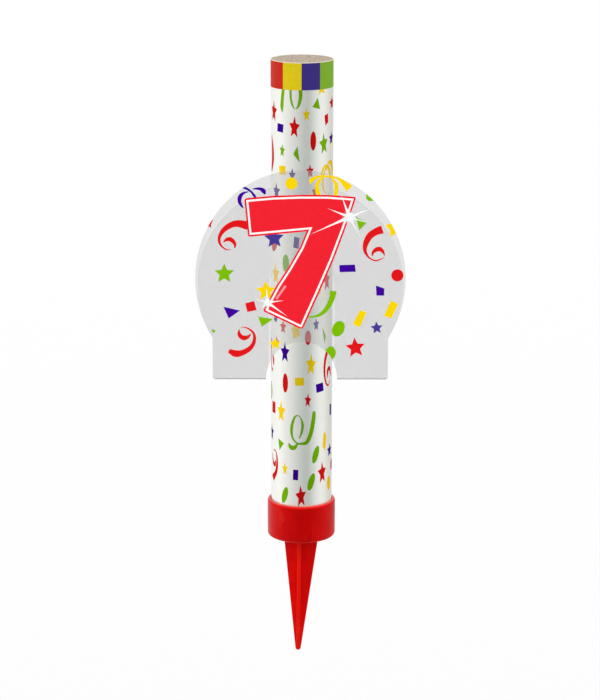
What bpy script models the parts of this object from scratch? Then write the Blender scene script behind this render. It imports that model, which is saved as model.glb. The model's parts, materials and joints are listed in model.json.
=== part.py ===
"""A number candle for a birthday cake: a sparkling fountain in a printed paper tube, planted by a spike.

The origin is on the tube's axis, in the flat underside of the holder's cup, which rests on the cake.
+Z runs up the tube and -Y is the side that shows the number. All lengths are in metres.
"""

import math

import bmesh
import bpy
from mathutils import Vector

MM = 0.001

# Tube and what is wound on it
TUBE_RADIUS = 5.6 * MM
TUBE_WALL = 1.2 * MM
WRAPPER_RADIUS = 6.06 * MM
WRAPPER_THICKNESS = 0.2 * MM
BAND_RADIUS = 6.03 * MM
BAND_THICKNESS = 0.2 * MM
BAND_HEIGHT = 5.06 * MM
TOP_Z = 95.26 * MM

# What fills the tube
FILLING_GAP = 0.25 * MM
CLAY_LENGTH = 8.0 * MM
STARTER_LENGTH = 5.0 * MM
DISC_RADIUS = 5.5 * MM
DISC_THICKNESS = 0.35 * MM
DISC_RECESS = 0.2 * MM
FILLING_CHAMFER = 0.2 * MM
DISC_CHAMFER = 0.07 * MM

# Holder: a cup with a cross-shaped spike below it
CUP_RIM_RADIUS = 6.72 * MM
CUP_FOOT_RADIUS = 6.7 * MM
CUP_HEIGHT = 7.56 * MM
CUP_WALL = 0.46 * MM
LIP_ROUND_WIDTH = 0.42 * MM
LIP_ROUND_HEIGHT = 0.6 * MM
CUP_FLOOR = 1.2 * MM
CUP_CORNER = 0.6 * MM
SPIKE_LENGTH = 24.74 * MM
SPIKE_ROOT_HALF_WIDTH = 3.5 * MM
SPIKE_TIP_RADIUS = 0.55 * MM
SPIKE_RIB = 0.7 * MM
SPIKE_TIP_SHIFT = -0.61 * MM  # the soft moulding has set a little to one side

# Number tag: one clear sheet folded upwards, with the tube between its two panels
FILM = 0.3 * MM
FOLD_Z = 33.7 * MM
PANEL_HALF_WIDTH = 20.25 * MM
PANEL_HALF_HEIGHT = 21.3 * MM
PANEL_CENTRE_UP = 19.8 * MM
PANEL_SHIFT = -0.25 * MM  # the outline is cut a little off the middle of the arch and slot
FOOT_HALF_WIDTH = 17.02 * MM
ARCH_HALF_WIDTH = 6.9 * MM
ARCH_HEIGHT = 7.5 * MM
FRONT_GAP = 0.2 * MM
REAR_LEAN = math.radians(33.5)
REAR_START = 0.75 * MM
SLOT_HALF_WIDTH = 6.45 * MM
SLOT_END = 26.0 * MM

CLEARANCE = 0.3 * MM  # between pieces that rest on each other
SEAM = 0.15 * MM  # between the wrapper's edge and the band's
ROUND_STEPS = 64


def clear_scene():
    for item in list(bpy.data.objects):
        bpy.data.objects.remove(item, do_unlink=True)


def material(name, colour, roughness, metallic=0.0, alpha=1.0):
    made = bpy.data.materials.new(name)
    made.use_nodes = True
    shader = made.node_tree.nodes["Principled BSDF"]
    shader.inputs["Base Color"].default_value = (*colour, 1.0)
    shader.inputs["Roughness"].default_value = roughness
    shader.inputs["Metallic"].default_value = metallic
    shader.inputs["Alpha"].default_value = alpha
    made.diffuse_color = (*colour, alpha)
    return made


def object_from(name, build, finish=None, origin=(0.0, 0.0, 0.0)):
    """A named object from a bmesh that build fills in world coordinates; its origin is put at origin."""
    shape = bmesh.new()
    build(shape)
    bmesh.ops.translate(shape, verts=shape.verts, vec=-Vector(origin))
    bmesh.ops.recalc_face_normals(shape, faces=shape.faces)
    mesh = bpy.data.meshes.new(name)
    shape.to_mesh(mesh)
    shape.free()
    made = bpy.data.objects.new(name, mesh)
    made.location = origin
    bpy.context.collection.objects.link(made)
    if finish:
        mesh.materials.append(finish)
    mesh.shade_smooth()
    mesh.set_sharp_from_angle(angle=math.radians(35))
    return made


def arc(centre, radius, start_deg, end_deg, steps):
    """Points (across, up) along a circular arc, both ends included."""
    points = []
    for i in range(steps + 1):
        angle = math.radians(start_deg + (end_deg - start_deg) * i / steps)
        points.append((centre[0] + radius * math.cos(angle), centre[1] + radius * math.sin(angle)))
    return points


def turn(shape, profile):
    """Turns a closed (radius, z) profile round the Z axis. A point at radius 0 becomes a single pole."""
    rings = []
    for radius, z in profile:
        if radius < 1e-9:
            rings.append([shape.verts.new((0.0, 0.0, z))])
            continue
        ring = []
        for i in range(ROUND_STEPS):
            angle = math.tau * i / ROUND_STEPS
            ring.append(shape.verts.new((radius * math.cos(angle), radius * math.sin(angle), z)))
        rings.append(ring)
    for here, ahead in zip(rings, rings[1:] + rings[:1]):
        if len(here) == 1 and len(ahead) == 1:
            continue
        for i in range(ROUND_STEPS):
            j = (i + 1) % ROUND_STEPS
            near = [here[i % len(here)], here[j % len(here)]]
            far = [ahead[j % len(ahead)], ahead[i % len(ahead)]]
            shape.faces.new(list(dict.fromkeys(near + far)))


def extrude_outline(shape, points, place, thickness):
    """A flat plate: place turns each (across, up) point into a middle point and the plate's normal."""
    faces = []
    for side in (-0.5, 0.5):
        corners = []
        for across, up in points:
            middle, normal = place(across, up)
            corners.append(shape.verts.new(middle + normal * (side * thickness)))
        faces.append(corners)
    shape.faces.new(faces[0])
    shape.faces.new(faces[1])
    for i in range(len(points)):
        j = (i + 1) % len(points)
        shape.faces.new([faces[0][i], faces[0][j], faces[1][j], faces[1][i]])


def ring_profile(inner, outer, low, high):
    return [(outer, low), (outer, high), (inner, high), (inner, low)]


def solid_profile(radius, low, high, edge):
    """A round plug with its edges broken by a small chamfer."""
    return [
        (0.0, low),
        (radius - edge, low),
        (radius, low + edge),
        (radius, high - edge),
        (radius - edge, high),
        (0.0, high),
    ]


def spike_outline():
    """One rib seen flat, from inside the cup's floor down to its rounded tip, as (across, up) points."""
    tip_z = -SPIKE_LENGTH + SPIKE_TIP_RADIUS
    top_z = CUP_FLOOR / 2
    widen = (SPIKE_ROOT_HALF_WIDTH - SPIKE_TIP_RADIUS) / -tip_z
    top_half_width = SPIKE_ROOT_HALF_WIDTH + widen * top_z
    tip = arc((0.0, tip_z), SPIKE_TIP_RADIUS, 180, 360, 10)
    return [(top_half_width, top_z), (-top_half_width, top_z)] + tip


def sideways_set(z):
    """How far the spike's middle has moved in X at height z, growing from nothing at the cup."""
    depth = max(0.0, -z) / SPIKE_LENGTH
    return SPIKE_TIP_SHIFT * depth


def holder(finish):
    """The cup and its spike are one moulding, so the ribs are united with the turned cup."""
    slope = (CUP_RIM_RADIUS - CUP_FOOT_RADIUS) / CUP_HEIGHT

    def cup(shape):
        outer = arc((CUP_FOOT_RADIUS - CUP_CORNER, CUP_CORNER), CUP_CORNER, -90, 0, 6)
        rim = []
        for across, up in arc((0.0, 0.0), 1.0, 0, 90, 6):
            radius = CUP_RIM_RADIUS - LIP_ROUND_WIDTH * (1 - across)
            rim.append((radius, CUP_HEIGHT - LIP_ROUND_HEIGHT * (1 - up)))
        rim.append((CUP_RIM_RADIUS - CUP_WALL, CUP_HEIGHT))
        inside_foot = CUP_FOOT_RADIUS + slope * CUP_FLOOR - CUP_WALL
        inner = arc((inside_foot - CUP_WALL, CUP_FLOOR + CUP_WALL), CUP_WALL, 0, -90, 3)
        turn(shape, [(0.0, 0.0)] + outer + rim + inner + [(0.0, CUP_FLOOR)])

    def rib(across_axis):
        def build(shape):
            def place(across, up):
                middle = Vector((sideways_set(up), 0.0, up)) + across_axis * across
                return middle, Vector((across_axis.y, across_axis.x, 0.0))

            extrude_outline(shape, spike_outline(), place, SPIKE_RIB)

        return build

    made = object_from("spike_holder", cup, finish)
    for name, across_axis in (("rib_across", Vector((1, 0, 0))), ("rib_along", Vector((0, 1, 0)))):
        tool = object_from(name, rib(across_axis))
        tool.hide_render = True
        tool.display_type = "WIRE"
        union = made.modifiers.new(name, "BOOLEAN")
        union.operation = "UNION"
        union.object = tool
    return made


def tube_and_filling(board, wrapper, band, kraft, clay, charge, starter, parent):
    """Everything that turns with the tube, from the skin to the filling."""
    floor_z = CUP_FLOOR + CLEARANCE
    tube_top = TOP_Z - DISC_RECESS - DISC_THICKNESS - CLEARANCE
    bore = TUBE_RADIUS - TUBE_WALL
    fill_radius = bore - FILLING_GAP
    clay_top = floor_z + CLEARANCE + CLAY_LENGTH
    starter_top = tube_top - CLEARANCE
    starter_low = starter_top - STARTER_LENGTH
    band_low = TOP_Z - BAND_HEIGHT
    band_inner = BAND_RADIUS - BAND_THICKNESS
    wrapper_inner = WRAPPER_RADIUS - WRAPPER_THICKNESS
    wrapper_low = floor_z + CLEARANCE
    disc_top = TOP_Z - DISC_RECESS
    pieces = {
        "paper_tube": (ring_profile(bore, TUBE_RADIUS, floor_z, tube_top), board),
        "printed_wrapper": (
            ring_profile(wrapper_inner, WRAPPER_RADIUS, wrapper_low, band_low - SEAM),
            wrapper,
        ),
        "striped_band": (ring_profile(band_inner, BAND_RADIUS, band_low, TOP_Z), band),
        "closure_disc": (
            solid_profile(DISC_RADIUS, disc_top - DISC_THICKNESS, disc_top, DISC_CHAMFER),
            kraft,
        ),
        "clay_plug": (
            solid_profile(fill_radius, floor_z + CLEARANCE, clay_top, FILLING_CHAMFER),
            clay,
        ),
        "spark_charge": (
            solid_profile(fill_radius, clay_top + CLEARANCE, starter_low - CLEARANCE, FILLING_CHAMFER),
            charge,
        ),
        "starter_charge": (
            solid_profile(fill_radius, starter_low, starter_top, FILLING_CHAMFER),
            starter,
        ),
    }
    for name, (profile, finish) in pieces.items():
        made = object_from(name, lambda shape, profile=profile: turn(shape, profile), finish)
        made.parent = parent


def panel_outline(start, slotted):
    """One panel of the tag as (across, up) points from the fold, anticlockwise from its right foot."""
    foot_angle = -math.degrees(math.acos(FOOT_HALF_WIDTH / PANEL_HALF_WIDTH))
    round_head = []
    for across, up in arc((0.0, 0.0), 1.0, foot_angle, 180 - foot_angle, 60):
        side = PANEL_SHIFT + PANEL_HALF_WIDTH * across
        round_head.append((side, PANEL_CENTRE_UP + PANEL_HALF_HEIGHT * up))
    left_foot = [(PANEL_SHIFT - FOOT_HALF_WIDTH, start)]
    right_foot = [(PANEL_SHIFT + FOOT_HALF_WIDTH, start)]
    first = math.asin(start / ARCH_HEIGHT)
    last = math.acos(SLOT_HALF_WIDTH / ARCH_HALF_WIDTH) if slotted else math.pi / 2
    rising = []
    steps = 6 if slotted else 16
    for i in range(steps + 1):
        angle = first + (last - first) * i / steps
        rising.append((ARCH_HALF_WIDTH * math.cos(angle), ARCH_HEIGHT * math.sin(angle)))
    mirrored = [(-across, up) for across, up in reversed(rising)]
    if slotted:
        slot_end = arc((0.0, SLOT_END - SLOT_HALF_WIDTH), SLOT_HALF_WIDTH, 180, 0, 24)
        inner = list(reversed(mirrored)) + slot_end + list(reversed(rising))
    else:
        inner = [(-across, up) for across, up in rising] + list(reversed(rising))[1:]
    return round_head + left_foot + inner + right_foot


def tag(print_film, clear_film, parent):
    """The folded sheet: an upright front panel and a slotted rear panel that leans back round the tube."""
    fold = Vector((0.0, -WRAPPER_RADIUS - FRONT_GAP - FILM / 2, FOLD_Z))

    def upright(across, up):
        return fold + Vector((across, 0.0, up)), Vector((0, 1, 0))

    def leaning(across, up):
        along = Vector((0.0, math.sin(REAR_LEAN), math.cos(REAR_LEAN)))
        facing = Vector((0.0, math.cos(REAR_LEAN), -math.sin(REAR_LEAN)))
        return fold + Vector((across, 0.0, 0.0)) + along * up, facing

    front = object_from(
        "tag_front_panel",
        lambda shape: extrude_outline(shape, panel_outline(0.0, False), upright, FILM),
        print_film,
        origin=fold,
    )
    rear = object_from(
        "tag_rear_panel",
        lambda shape: extrude_outline(shape, panel_outline(REAR_START, True), leaning, FILM),
        clear_film,
        origin=fold,
    )
    front.parent = parent
    rear.parent = front
    rear.location = (0.0, 0.0, 0.0)


def main():
    clear_scene()
    plastic = material("red_plastic", (0.62, 0.01, 0.012), 0.32)
    board = material("tube_board", (0.62, 0.54, 0.42), 0.85)
    wrapper = material("pearl_paper", (0.86, 0.86, 0.84), 0.35, metallic=0.2)
    band = material("band_paper", (0.72, 0.56, 0.02), 0.5)
    kraft = material("kraft_disc", (0.5, 0.4, 0.3), 0.9)
    clay = material("clay", (0.55, 0.5, 0.44), 0.95)
    charge = material("grey_charge", (0.22, 0.22, 0.23), 0.9)
    starter = material("starter_grey", (0.12, 0.12, 0.12), 0.9)
    print_film = material("printed_film", (0.75, 0.75, 0.75), 0.3, alpha=0.45)
    clear_film = material("clear_film", (0.85, 0.85, 0.85), 0.2, alpha=0.25)

    turning = bpy.data.objects.new("tube_axis", None)
    bpy.context.collection.objects.link(turning)
    holder(plastic)
    tube_and_filling(board, wrapper, band, kraft, clay, charge, starter, turning)
    tag(print_film, clear_film, turning)


main()
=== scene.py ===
"""Looks of a number cake fountain: printed tube, striped band, red spike holder and folded film tag.

Lengths in the layouts below are millimetres; everything is turned into metres where meshes are made.
The tag's layout is (across, up) from the middle of its fold; the tube's is (degrees round from the
front, height), both seen from the side that shows the number.
"""
import json
import math

import bmesh
import bpy
from mathutils import Matrix, Vector, geometry


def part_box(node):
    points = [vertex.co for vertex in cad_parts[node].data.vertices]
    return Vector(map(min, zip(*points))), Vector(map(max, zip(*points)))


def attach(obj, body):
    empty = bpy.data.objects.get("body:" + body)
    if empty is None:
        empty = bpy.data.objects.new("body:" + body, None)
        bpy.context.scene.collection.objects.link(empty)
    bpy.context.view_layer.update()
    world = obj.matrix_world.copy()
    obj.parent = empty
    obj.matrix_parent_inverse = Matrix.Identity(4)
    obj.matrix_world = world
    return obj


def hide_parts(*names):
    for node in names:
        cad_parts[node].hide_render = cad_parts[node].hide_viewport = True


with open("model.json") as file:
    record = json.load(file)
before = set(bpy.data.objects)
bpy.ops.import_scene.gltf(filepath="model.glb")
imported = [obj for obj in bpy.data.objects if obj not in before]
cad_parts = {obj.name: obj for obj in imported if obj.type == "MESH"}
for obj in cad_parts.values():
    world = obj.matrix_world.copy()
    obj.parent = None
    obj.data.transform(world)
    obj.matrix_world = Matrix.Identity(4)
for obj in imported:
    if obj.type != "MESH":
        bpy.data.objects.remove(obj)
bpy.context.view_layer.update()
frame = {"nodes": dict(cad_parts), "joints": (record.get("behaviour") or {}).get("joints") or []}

MM = 0.001

# Camera and floor, in metres: where the camera looks, from how far and how high
CAMERA_DISTANCE = 0.4963
CAMERA_HEIGHT_DEG = 14.33
CAMERA_LENS = 129.9
CAMERA_TARGET = Vector((-0.00031, 0.0, 0.03784))
CAMERA_ROLL_DEG = 0.09
FLOOR_BELOW = 0.30
FLOOR_HALF = 4.0

# Thin sheets as they are seen
PAPER = 0.10
FILM_HALF = 0.11
CREASE_RISE = 0.02
INK_RISE = 0.02
INK_OVERLAP = 0.01
SEAM_OVERLAP_DEG = 9
ROUND_STEPS = 120
SMOOTH_DEG = 32


def corners(node):
    low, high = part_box(node)
    return low / MM, high / MM


WRAP_LOW, WRAP_HIGH = corners("printed_wrapper")
BAND_LOW, BAND_HIGH = corners("striped_band")
DISC_LOW, _ = corners("closure_disc")
FRONT_LOW, FRONT_HIGH = corners("tag_front_panel")
HOLDER_LOW, HOLDER_HIGH = corners("spike_holder")
FOLD = next(Vector(j["pos_m"]) / MM for j in frame["joints"] if j["name"] == "tag_fold")
WRAP_RADIUS = WRAP_HIGH.x
BAND_RADIUS = BAND_HIGH.x


# ---------- materials


def linear(r, g, b):
    """A display colour, 0 to 255, as the scene-linear colour the shaders work in."""
    out = []
    for value in (r, g, b):
        value /= 255
        out.append(value / 12.92 if value <= 0.04045 else ((value + 0.055) / 1.055) ** 2.4)
    return (*out, 1.0)


def shader_of(name, **values):
    made = bpy.data.materials.new(name)
    made.use_nodes = True
    shader = made.node_tree.nodes["Principled BSDF"]
    for socket, value in values.items():
        shader.inputs[socket.replace("_", " ")].default_value = value
    return made, shader


def noise(made, scale, detail=3.0, stretch=(1, 1, 1), roughness=0.55):
    nodes, links = made.node_tree.nodes, made.node_tree.links
    place = nodes.new("ShaderNodeTexCoord")
    mapping = nodes.new("ShaderNodeMapping")
    mapping.inputs["Scale"].default_value = stretch
    texture = nodes.new("ShaderNodeTexNoise")
    texture.inputs["Scale"].default_value = scale
    texture.inputs["Detail"].default_value = detail
    texture.inputs["Roughness"].default_value = roughness
    links.new(place.outputs["Object"], mapping.inputs["Vector"])
    links.new(mapping.outputs["Vector"], texture.inputs["Vector"])
    return texture.outputs["Fac"]


def fill_ramp(node, stops):
    """Gives a new colour ramp node its stops, in rising order."""
    elements = node.color_ramp.elements
    elements.remove(elements[1])
    elements[0].position, elements[0].color = stops[0]
    for position, colour in stops[1:]:
        elements.new(position).color = colour


def ramp(made, factor, stops):
    """A colour ramp; stops are (position, colour)."""
    node = made.node_tree.nodes.new("ShaderNodeValToRGB")
    fill_ramp(node, stops)
    made.node_tree.links.new(factor, node.inputs["Fac"])
    return node.outputs["Color"]


def blend_colours(tree, factor, first, second, blend_type="MIX"):
    """A colour between two, or their product; each input is a socket or a plain value."""
    node = tree.nodes.new("ShaderNodeMix")
    node.data_type = "RGBA"
    node.blend_type = blend_type
    factor_in, first_in, second_in = node.inputs[0], node.inputs[6], node.inputs[7]
    for value, socket in ((factor, factor_in), (first, first_in), (second, second_in)):
        if isinstance(value, bpy.types.NodeSocket):
            tree.links.new(value, socket)
        else:
            socket.default_value = value
    return node.outputs[2]


def shade(colour, amount):
    """A colour made darker or lighter."""
    return (*(min(1.0, c * amount) for c in colour[:3]), 1.0)


def grey(level):
    return (level, level, level, 1.0)


def mottle(made, shader, colour, scale, spread, detail=3.0):
    """Base colour that drifts a little darker and lighter over the surface."""
    factor = noise(made, scale, detail)
    stops = [(0.35, shade(colour, 1 - spread)), (0.65, shade(colour, 1 + spread))]
    made.node_tree.links.new(ramp(made, factor, stops), shader.inputs["Base Color"])


def bump(made, shader, scale, depth_mm, strength, detail=2.0):
    node = made.node_tree.nodes.new("ShaderNodeBump")
    node.inputs["Strength"].default_value = strength
    node.inputs["Distance"].default_value = depth_mm * MM
    made.node_tree.links.new(noise(made, scale, detail), node.inputs["Height"])
    made.node_tree.links.new(node.outputs["Normal"], shader.inputs["Normal"])


def vary_roughness(made, shader, low, high, scale):
    factor = noise(made, scale, 4.0)
    stops = [(0.3, grey(low)), (0.7, grey(high))]
    made.node_tree.links.new(ramp(made, factor, stops), shader.inputs["Roughness"])


PEARL = (238, 239, 235)
PEARL_METALLIC = 0.7
PLASTIC = (206, 0, 0)
# painted glow: the spike's lighter red stands in for light shining through the thin plastic
PLASTIC_SPIKE_PAINTED_GLOW = (240, 4, 1)
# painted highlight on the ribs' edges
PLASTIC_RIB_EDGE_HIGHLIGHT = (252, 26, 6)
# painted glow of light through the thin wall, inside the lip
PLASTIC_LIP_PAINTED_GLOW = (244, 150, 142)
PLASTIC_SCUFF = (225, 90, 60)
# painted highlight along the top of the cup's lip, paler red
PLASTIC_RIM_HIGHLIGHT = (240, 130, 118)
PAPER_CORE = (214, 200, 182)
TUBE_INKS = {
    "red": (207, 20, 18),
    "yellow": (240, 205, 15),
    "purple": (56, 0, 138),
    "green": (115, 173, 6),
}
FILM_INKS = {
    "red": (228, 20, 24),
    "yellow": (252, 214, 0),
    "purple": (62, 0, 156),
    "violet": (70, 58, 148),
    "green": (126, 188, 0),
    "figure": (244, 34, 49),
    "outline": (248, 10, 40),
    "white": (255, 255, 255),
    "gloss": (250, 150, 158),
}
BAND_INKS = {
    "red": (190, 40, 26),
    "yellow": (213, 190, 22),
    "purple": (58, 44, 120),
    "green": (118, 163, 42),
}


def pearl_finish():
    """Satin pearl paper: part of the light is mirrored softly by the pigment."""
    made, shader = shader_of("pearl_paper", Metallic=PEARL_METALLIC, Specular_IOR_Level=0.5)
    mottle(made, shader, linear(*PEARL), 700, 0.012)
    vary_roughness(made, shader, 0.29, 0.335, 1200)
    bump(made, shader, 1600, 0.004, 0.3)
    return made


def paper_ink_finish(name, rgb):
    """Ink on the pearl paper: flatter than the paper, with a faint unevenness."""
    tint = linear(*rgb)
    made, shader = shader_of(name, Metallic=PEARL_METALLIC, Specular_IOR_Level=0.1, Specular_Tint=tint)
    mottle(made, shader, tint, 1400, 0.04, 4.0)
    vary_roughness(made, shader, 0.32, 0.42, 1800)
    bump(made, shader, 2600, 0.003, 0.3)
    return made


def film_ink_finish(name, rgb):
    """Opaque ink on clear film, with the slight unevenness of a solid print."""
    made, shader = shader_of(name, Specular_IOR_Level=0.05)
    mottle(made, shader, linear(*rgb), 1100, 0.022, 4.0)
    vary_roughness(made, shader, 0.3, 0.4, 1800)
    bump(made, shader, 900, 0.004, 0.25)
    return made


def band_finish(name, rgb):
    """Printed paper with a dry, slightly fibrous surface."""
    made, shader = shader_of(name, Specular_IOR_Level=0.05)
    mottle(made, shader, linear(*rgb), 1500, 0.03, 4.0)
    vary_roughness(made, shader, 0.42, 0.55, 2200)
    bump(made, shader, 2400, 0.006, 0.3)
    return made


def film_finish(name, level, alpha, roughness):
    """Thin clear film; each of its two faces covers a share of what is behind it."""
    made, shader = shader_of(name, Alpha=alpha, Specular_IOR_Level=0.3)
    mottle(made, shader, grey(level), 160, 0.03)
    vary_roughness(made, shader, roughness, roughness + 0.12, 500)
    bump(made, shader, 90, 0.02, 0.1)
    return made


def height_share(made, low_mm, high_mm):
    """0 at one height and 1 at the other, along the part's own axis."""
    nodes, links = made.node_tree.nodes, made.node_tree.links
    place = nodes.new("ShaderNodeTexCoord")
    split = nodes.new("ShaderNodeSeparateXYZ")
    share = nodes.new("ShaderNodeMapRange")
    share.inputs["From Min"].default_value = low_mm * MM
    share.inputs["From Max"].default_value = high_mm * MM
    links.new(place.outputs["Object"], split.inputs["Vector"])
    links.new(split.outputs["Z"], share.inputs["Value"])
    return share.outputs["Result"]


def plastic_finish(name, spike_painted_light_rgb):
    """Moulded red plastic. Towards the spike its colour turns into the given spike colour, a painted glow
    of light through the thin spike; the ribs' edge finish gets its painted highlight the same way. It has
    faint flow marks, pale scuffs and a painted highlight, paler red, along the top of the lip."""
    made, shader = shader_of(
        name,
        Metallic=0.35,
        Specular_IOR_Level=0.1,
        Subsurface_Weight=0.2,
        Subsurface_Radius=(1.0, 0.06, 0.04),
        Subsurface_Scale=0.001,
    )
    tree = made.node_tree
    # painted glow: the colour turns lighter red towards the spike
    spike_painted_light_share = height_share(made, *SPIKE_GLOW_HEIGHTS)
    colour = blend_colours(tree, spike_painted_light_share, linear(*PLASTIC), linear(*spike_painted_light_rgb))
    streaks = ramp(made, noise(made, 420, 5.0, (1, 1, 0.5)), [(0.35, grey(0.84)), (0.65, grey(1))])
    streaked = blend_colours(tree, 1.0, colour, streaks, "MULTIPLY")
    scuffs = ramp(made, noise(made, 300, 6.0, (1, 1, 0.7), 0.7), [(0.57, grey(0)), (0.74, grey(0.16))])
    scuffed = blend_colours(tree, scuffs, streaked, linear(*PLASTIC_SCUFF))
    lip = height_share(made, CUP_HEIGHT - LIP_ROUND[1], CUP_HEIGHT)
    # painted highlight, paler towards the top of the lip
    wear_and_highlight = ramp(made, lip, [(0.7, grey(0)), (1.0, grey(0.3))])
    finished = blend_colours(tree, wear_and_highlight, scuffed, linear(*PLASTIC_RIM_HIGHLIGHT))
    tree.links.new(finished, shader.inputs["Base Color"])
    vary_roughness(made, shader, 0.29, 0.38, 700)
    bump(made, shader, 800, 0.012, 0.3, 3.0)
    return made


def lip_painted_glow_finish():
    """The inside of the cup's lip, painted pale pink: a painted glow of light from outside shining through
    the thin wall.
    """
    made, shader = shader_of("red_plastic_lip_painted_glow", Specular_IOR_Level=0.2)
    mottle(made, shader, linear(*PLASTIC_LIP_PAINTED_GLOW), 420, 0.08)
    vary_roughness(made, shader, 0.4, 0.5, 700)
    bump(made, shader, 800, 0.012, 0.3, 3.0)
    return made


def kraft_finish():
    """Grey-brown board with pale fibres and dark specks."""
    made, shader = shader_of("closure_board")
    factor = noise(made, 1900, 5.0, (1, 1, 1), 0.7)
    stops = [
        (0.32, linear(78, 67, 56)),
        (0.43, linear(134, 119, 104)),
        (0.55, linear(156, 141, 125)),
        (0.68, linear(190, 175, 157)),
    ]
    made.node_tree.links.new(ramp(made, factor, stops), shader.inputs["Base Color"])
    vary_roughness(made, shader, 0.8, 0.95, 1500)
    bump(made, shader, 3000, 0.06, 0.7, 4.0)
    return made


def rough_finish(name, rgb, scale, spread, depth_mm, roughness=0.85):
    made, shader = shader_of(name)
    mottle(made, shader, linear(*rgb), scale, spread, 5.0)
    vary_roughness(made, shader, roughness, min(1.0, roughness + 0.1), scale)
    bump(made, shader, scale, depth_mm, 0.6, 4.0)
    return made


# ---------- flat shapes


def scaled(points, centre, width, height, turn_deg=0.0):
    """Unit points turned, stretched to width by height and moved to centre."""
    c, s = math.cos(math.radians(turn_deg)), math.sin(math.radians(turn_deg))
    return [
        (centre[0] + (x * c - y * s) * width / 2, centre[1] + (x * s + y * c) * height / 2)
        for x, y in points
    ]


def confetti(kind, centre, width, height, turn_deg):
    """The outline of one piece of confetti. An ellipse is stretched first and then turned."""
    if kind != "ellipse":
        return scaled(UNIT[kind], centre, width, height, turn_deg)
    stretched = [(x * width / 2, y * height / 2) for x, y in UNIT[kind]]
    return scaled(stretched, centre, 2, 2, turn_deg)


# A star fills its width and height like the other shapes
STAR_WIDEN = 1.12
STAR_STRETCH = 1.19
STAR_DROP = 0.11
STAR_WAIST = 0.47


def star_points():
    points = []
    for i in range(10):
        angle = math.radians(90 + 36 * i)
        reach = 1.0 if i % 2 == 0 else STAR_WAIST
        across, up = reach * math.cos(angle), reach * math.sin(angle)
        points.append((STAR_WIDEN * across, STAR_STRETCH * up - STAR_DROP))
    return points


def round_points(steps=28):
    return [(math.cos(math.tau * i / steps), math.sin(math.tau * i / steps)) for i in range(steps)]


UNIT = {
    "star": star_points(),
    "ellipse": round_points(),
    "block": [(-1, -1), (1, -1), (1, 1), (-1, 1)],
    "slant": [(-1, -0.8), (0.7, -1), (1, 0.8), (-0.7, 1)],
}


def smooth(points, steps=6):
    """A Catmull-Rom curve through points of any dimension."""
    knots = [Vector(p) for p in points]
    knots = [knots[0] * 2 - knots[1]] + knots + [knots[-1] * 2 - knots[-2]]
    out = []
    for a, b, c, d in zip(knots, knots[1:], knots[2:], knots[3:]):
        for i in range(steps):
            t = i / steps
            bend, twist = 2 * a - 5 * b + 4 * c - d, 3 * b - a - 3 * c + d
            out.append(0.5 * (2 * b + (c - a) * t + bend * t**2 + twist * t**3))
    out.append(knots[-2])
    return out


def ribbon(stations):
    """The outline of a brush stroke: stations are (x, y, width) along its middle."""
    middle = smooth(stations)
    left, right = [], []
    for i, here in enumerate(middle):
        ahead, behind = middle[min(i + 1, len(middle) - 1)], middle[max(i - 1, 0)]
        along = Vector((ahead.x - behind.x, ahead.y - behind.y)).normalized()
        side = Vector((-along.y, along.x)) * max(0.02, here.z) / 2
        left.append((here.x + side.x, here.y + side.y))
        right.append((here.x - side.x, here.y - side.y))
    return left + right[::-1]


def inset(points, distance):
    """A closed outline moved inwards, edge by edge; the outline runs clockwise."""
    out = []
    for i, here in enumerate(points):
        before, after = Vector(points[i - 1]), Vector(points[(i + 1) % len(points)])
        here = Vector(here)
        a, b = (here - before).normalized(), (after - here).normalized()
        normal_a, normal_b = Vector((a.y, -a.x)), Vector((b.y, -b.x))
        middle = (normal_a + normal_b).normalized()
        out.append(tuple(here + middle * distance / max(0.3, middle.dot(normal_a))))
    return out


def ray(centre, tip, width):
    """A spike of light from centre out to tip, which thins out quickly at first."""
    centre, tip = Vector(centre), Vector(tip)
    along = (tip - centre).normalized()
    side = Vector((-along.y, along.x)) * width / 2
    back = centre - along * width * 0.4
    neck = centre.lerp(tip, 0.4)
    points = [back + side, back - side, neck - side * 0.42, tip, neck + side * 0.42]
    return [tuple(point) for point in points]


def anticlockwise(points):
    area = sum(a[0] * b[1] - b[0] * a[1] for a, b in zip(points, points[1:] + points[:1]))
    return points if area > 0 else points[::-1]


def overprint(sheet, shapes, guides=()):
    """Cuts a flat sheet along every printed shape. Gives points, triangles and the uppermost shape
    of each triangle, or None where it is bare. guides are extra cut lines, as pairs of points."""
    points, loops = [], []
    for outline in [sheet] + [outline for _, outline in shapes]:
        outline = anticlockwise([tuple(p)[:2] for p in outline])
        loops.append(list(range(len(points), len(points) + len(outline))))
        points += outline
    edges = []
    for a, b in guides:
        edges.append((len(points), len(points) + 1))
        points += [a, b]
    cut = geometry.delaunay_2d_cdt([Vector(p) for p in points], edges, loops, 1, 1e-5)
    verts, triangles, sources = cut[0], cut[2], cut[5]
    kept, colours = [], []
    for triangle, source in zip(triangles, sources):
        if 0 in source:
            kept.append(triangle)
            top = max(source)
            colours.append(shapes[top - 1][0] if top else None)
    return verts, kept, colours


# ---------- solids


def finish_object(name, verts, faces, materials, indices, normals=None):
    """A mesh object from points in millimetres. normals are per face corner, in face order."""
    mesh = bpy.data.meshes.new(name)
    mesh.from_pydata([tuple(Vector(v) * MM) for v in verts], [], faces)
    for item in materials:
        mesh.materials.append(item)
    mesh.polygons.foreach_set("material_index", indices)
    mesh.update()
    mesh.shade_smooth()
    if normals:
        mesh.normals_split_custom_set(normals)
    else:
        mesh.set_sharp_from_angle(angle=math.radians(SMOOTH_DEG))
    made = bpy.data.objects.new(name, mesh)
    bpy.context.scene.collection.objects.link(made)
    return made


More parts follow.
